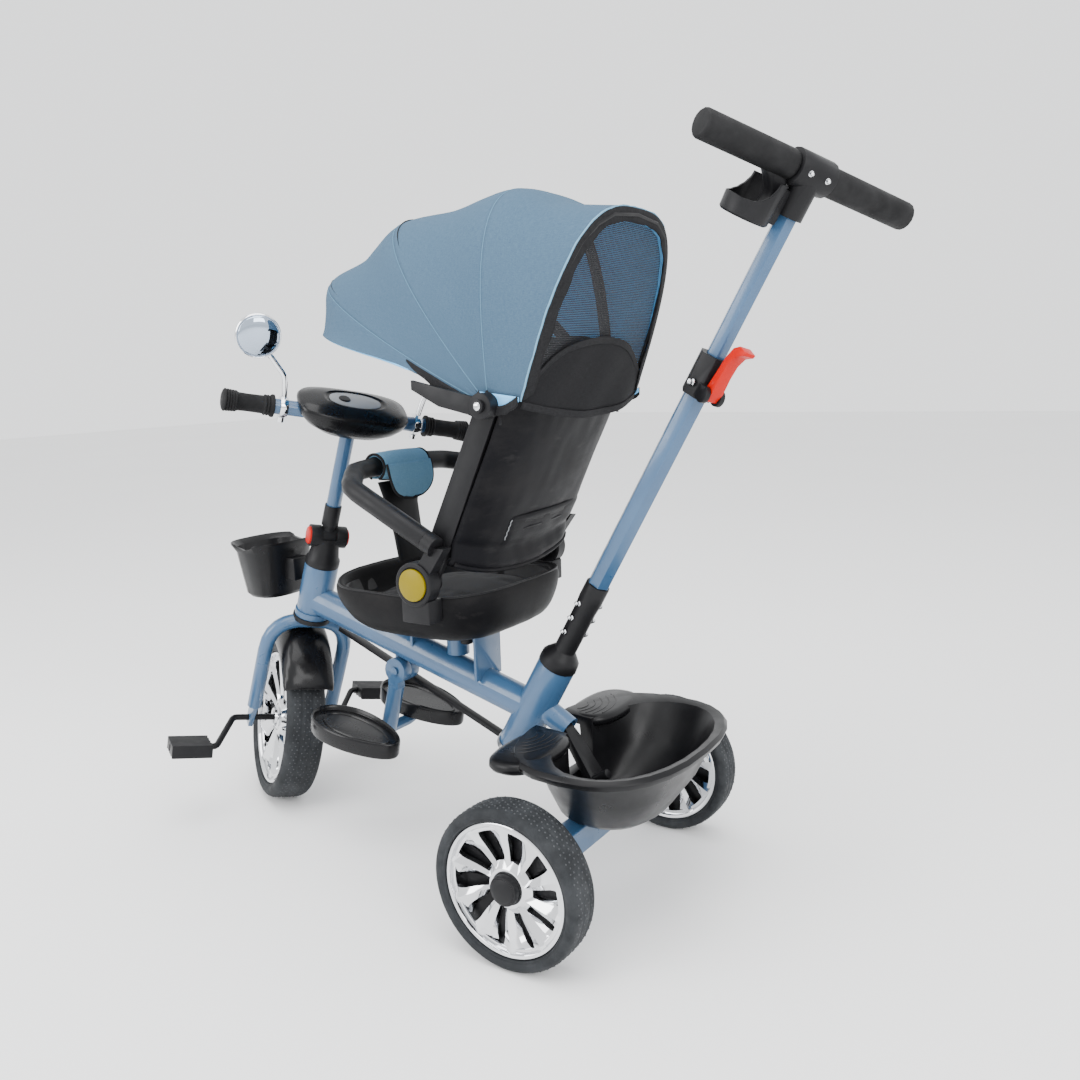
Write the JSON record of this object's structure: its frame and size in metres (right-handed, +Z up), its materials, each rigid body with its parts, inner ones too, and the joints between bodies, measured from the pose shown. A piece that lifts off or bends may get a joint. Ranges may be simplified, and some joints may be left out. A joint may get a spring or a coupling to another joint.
{
  "type": "children's push tricycle",
  "caption": "Children's push tricycle with parent push handle, swivelling padded seat, folding canopy, safety bar, footrest, mirrors and front and rear baskets.",
  "frame": {"origin": "on the ground, under the middle of the whole tricycle", "axes": "+Z up, -Y the way it drives, +X the rider's left"},
  "size_m": [0.4688, 1.0811, 0.9384],
  "materials": {
    "painted_blue": "gloss",
    "black_plastic": "satin",
    "black_gloss": "gloss",
    "black_steel": "satin",
    "chrome": "polished",
    "zinc_steel": "satin",
    "tyre_rubber": "matte",
    "grip_rubber": "matte",
    "red_plastic": "satin",
    "yellow_plastic": "satin",
    "canopy_fabric": "matte",
    "black_leatherette": "satin",
    "seat_cloth": "matte",
    "mirror_chrome": "polished"
  },
  "bodies": {
    "frame": {"main_frame": "painted_blue", "seat_bracket": "painted_blue", "seat_knobs": "black_plastic", "swivel_plate": "black_plastic", "rear_beam": "painted_blue", "rear_axle": "black_plastic", "rear_basket": "black_plastic", "rear_strut": "black_steel", "front_basket": "black_plastic"},
    "steering": {"fork": "painted_blue", "front_fender": "black_gloss", "hinge_base": "black_plastic"},
    "fold_button_left": {"hinge_button_left": "red_plastic"},
    "fold_button_right": {"hinge_button_right": "red_plastic"},
    "handlebar": {"hinge_sleeve": "black_plastic", "handlebar": "painted_blue", "grip_left": "grip_rubber", "grip_right": "grip_rubber", "music_box": "black_gloss", "mirror_stalk_left": "chrome", "mirror_stalk_right": "chrome"},
    "mirror_left": {"mirror_left": "mirror_chrome"},
    "mirror_right": {"mirror_right": "mirror_chrome"},
    "front_wheel": {"front_tyre": "tyre_rubber", "front_rim": "chrome", "crank_axle": "black_steel"},
    "pedal_left": {"pedal_left": "black_plastic"},
    "pedal_right": {"pedal_right": "black_plastic"},
    "rear_wheel_left": {"rear_tyre_left": "tyre_rubber", "rear_rim_left": "chrome"},
    "rear_wheel_right": {"rear_tyre_right": "tyre_rubber", "rear_rim_right": "chrome"},
    "push_handle": {"handle_shaft": "zinc_steel", "pole_socket": "black_plastic", "lower_pole": "painted_blue", "clamp_collar": "black_plastic"},
    "clamp_lever": {"clamp_lever": "red_plastic"},
    "upper_handle": {"upper_pole": "painted_blue", "handle_tee": "black_plastic", "push_grip_left": "grip_rubber", "push_grip_right": "grip_rubber", "cup_holder": "black_plastic"},
    "push_rod": {"push_rod": "black_steel"},
    "footrest": {"footrest_stem": "painted_blue", "footrest_pad_left": "black_gloss", "footrest_pad_right": "black_gloss"},
    "seat": {"seat_shell": "black_plastic", "seat_pad": "seat_cloth"},
    "recline_button_left": {"recline_button_left": "yellow_plastic"},
    "recline_button_right": {"recline_button_right": "yellow_plastic"},
    "backrest": {"backrest_board": "black_plastic", "backrest_cover": "black_leatherette", "canopy_bow_rear": "black_plastic", "canopy_cover": "canopy_fabric"},
    "bow_third": {"canopy_bow_third": "black_plastic"},
    "bow_second": {"canopy_bow_second": "black_plastic"},
    "bow_front": {"canopy_bow_front": "black_plastic"},
    "bumper": {"bumper_bar": "black_plastic", "bumper_pad": "canopy_fabric", "crotch_guard": "black_plastic"}
  },
  "joints": [
    {"name": "steering", "type": "hinge", "parent": "frame", "child": "steering", "pos_m": [0, -0.3313, 0.314], "axis": [0, 0.335, 0.9422], "range_deg": [-4, 68]},
    {"name": "handle_turn", "type": "hinge", "parent": "frame", "child": "push_handle", "pos_m": [0, 0.0974, 0.25], "axis": [0, 0.4953, 0.8687], "range_deg": [-4, 68]},
    {"name": "push_rod_pivot", "type": "hinge", "parent": "push_handle", "child": "push_rod", "pos_m": [-0.02544, 0.06059, 0.15334], "axis": [0, 0.4953, 0.8687], "range_deg": [-68, 4]},
    {"name": "pole_slide", "type": "slide", "parent": "push_handle", "child": "upper_handle", "axis": [0, 0.4953, 0.8687], "range_m": [-0.145, 0]},
    {"name": "clamp_lever_pivot", "type": "hinge", "parent": "push_handle", "child": "clamp_lever", "pos_m": [0.01404, 0.35269, 0.65238], "axis": [-0.848, 0.4604, -0.2625], "range_deg": [0, 80]},
    {"name": "handlebar_fold", "type": "hinge", "parent": "steering", "child": "handlebar", "pos_m": [0, -0.28407, 0.44686], "axis": [0.848, -0.4993, 0.1775], "range_deg": [0, 60]},
    {"name": "fold_button_left_press", "type": "slide", "parent": "steering", "child": "fold_button_left", "axis": [-0.848, 0.4993, -0.1775], "range_m": [0, 0.004], "stiffness_N_per_m": 300, "springref_m": -0.003},
    {"name": "fold_button_right_press", "type": "slide", "parent": "steering", "child": "fold_button_right", "axis": [0.848, -0.4993, 0.1775], "range_m": [0, 0.004], "stiffness_N_per_m": 300, "springref_m": -0.003},
    {"name": "mirror_left_tilt", "type": "hinge", "parent": "handlebar", "child": "mirror_left", "pos_m": [0.12933, -0.2583, 0.74653], "axis": [0.848, -0.4993, 0.1775], "range_deg": [-5, 12]},
    {"name": "mirror_right_tilt", "type": "hinge", "parent": "handlebar", "child": "mirror_right", "pos_m": [-0.12509, -0.10851, 0.69328], "axis": [0.848, -0.4993, 0.1775], "range_deg": [-5, 12]},
    {"name": "front_wheel_spin", "type": "hinge", "parent": "steering", "child": "front_wheel", "pos_m": [-0.01325, -0.41914, 0.1302], "axis": [0.848, -0.4993, 0.1775], "continuous": true},
    {"name": "pedal_left_spin", "type": "hinge", "parent": "front_wheel", "child": "pedal_left", "pos_m": [0.14724, -0.46511, 0.12426], "axis": [0.848, -0.4993, 0.1775], "continuous": true},
    {"name": "pedal_right_spin", "type": "hinge", "parent": "front_wheel", "child": "pedal_right", "pos_m": [-0.17374, -0.37317, 0.13615], "axis": [0.848, -0.4993, 0.1775], "continuous": true},
    {"name": "rear_wheel_left_spin", "type": "hinge", "parent": "frame", "child": "rear_wheel_left", "pos_m": [0.209, 0.1877, 0.1], "axis": [1, 0, 0], "continuous": true},
    {"name": "rear_wheel_right_spin", "type": "hinge", "parent": "frame", "child": "rear_wheel_right", "pos_m": [-0.209, 0.1877, 0.1], "axis": [1, 0, 0], "continuous": true},
    {"name": "seat_swivel", "type": "hinge", "parent": "frame", "child": "seat", "pos_m": [0, -0.0403, 0.3385], "axis": [0, 0, 1], "range_deg": [-90, 0]},
    {"name": "recline", "type": "hinge", "parent": "seat", "child": "backrest", "pos_m": [0, 0.0177, 0.43], "axis": [-1, 0, 0], "range_deg": [0, 15]},
    {"name": "recline_button_left_press", "type": "slide", "parent": "seat", "child": "recline_button_left", "axis": [-1, 0, 0], "range_m": [0, 0.004], "stiffness_N_per_m": 300, "springref_m": -0.003},
    {"name": "recline_button_right_press", "type": "slide", "parent": "seat", "child": "recline_button_right", "axis": [1, 0, 0], "range_m": [0, 0.004], "stiffness_N_per_m": 300, "springref_m": -0.003},
    {"name": "canopy_third_fold", "type": "hinge", "parent": "backrest", "child": "bow_third", "pos_m": [0, 0.1347, 0.65], "axis": [-1, 0, 0], "range_deg": [0, 18], "deforming": ["canopy_cover"]},
    {"name": "canopy_second_fold", "type": "hinge", "parent": "bow_third", "child": "bow_second", "pos_m": [0, 0.1347, 0.65], "axis": [-1, 0, 0], "range_deg": [0, 23.5], "deforming": ["canopy_cover"]},
    {"name": "canopy_front_fold", "type": "hinge", "parent": "bow_second", "child": "bow_front", "pos_m": [0, 0.1347, 0.65], "axis": [-1, 0, 0], "range_deg": [0, 10.9], "deforming": ["canopy_cover"]},
    {"name": "bumper_pull", "type": "slide", "parent": "seat", "child": "bumper", "axis": [0, -0.891, 0.454], "range_m": [0, 0.03]},
    {"name": "footrest_fold", "type": "hinge", "parent": "frame", "child": "footrest", "pos_m": [0, -0.1483, 0.256], "axis": [1, 0, 0], "range_deg": [0, 60]}
  ],
  "couplings": [
    {"joint": "handle_turn", "follows": "steering", "ratio": 1},
    {"joint": "push_rod_pivot", "follows": "steering", "ratio": -1},
    {"joint": "canopy_second_fold", "follows": "canopy_third_fold", "ratio": 1.3},
    {"joint": "canopy_front_fold", "follows": "canopy_third_fold", "ratio": 0.6}
  ]
}
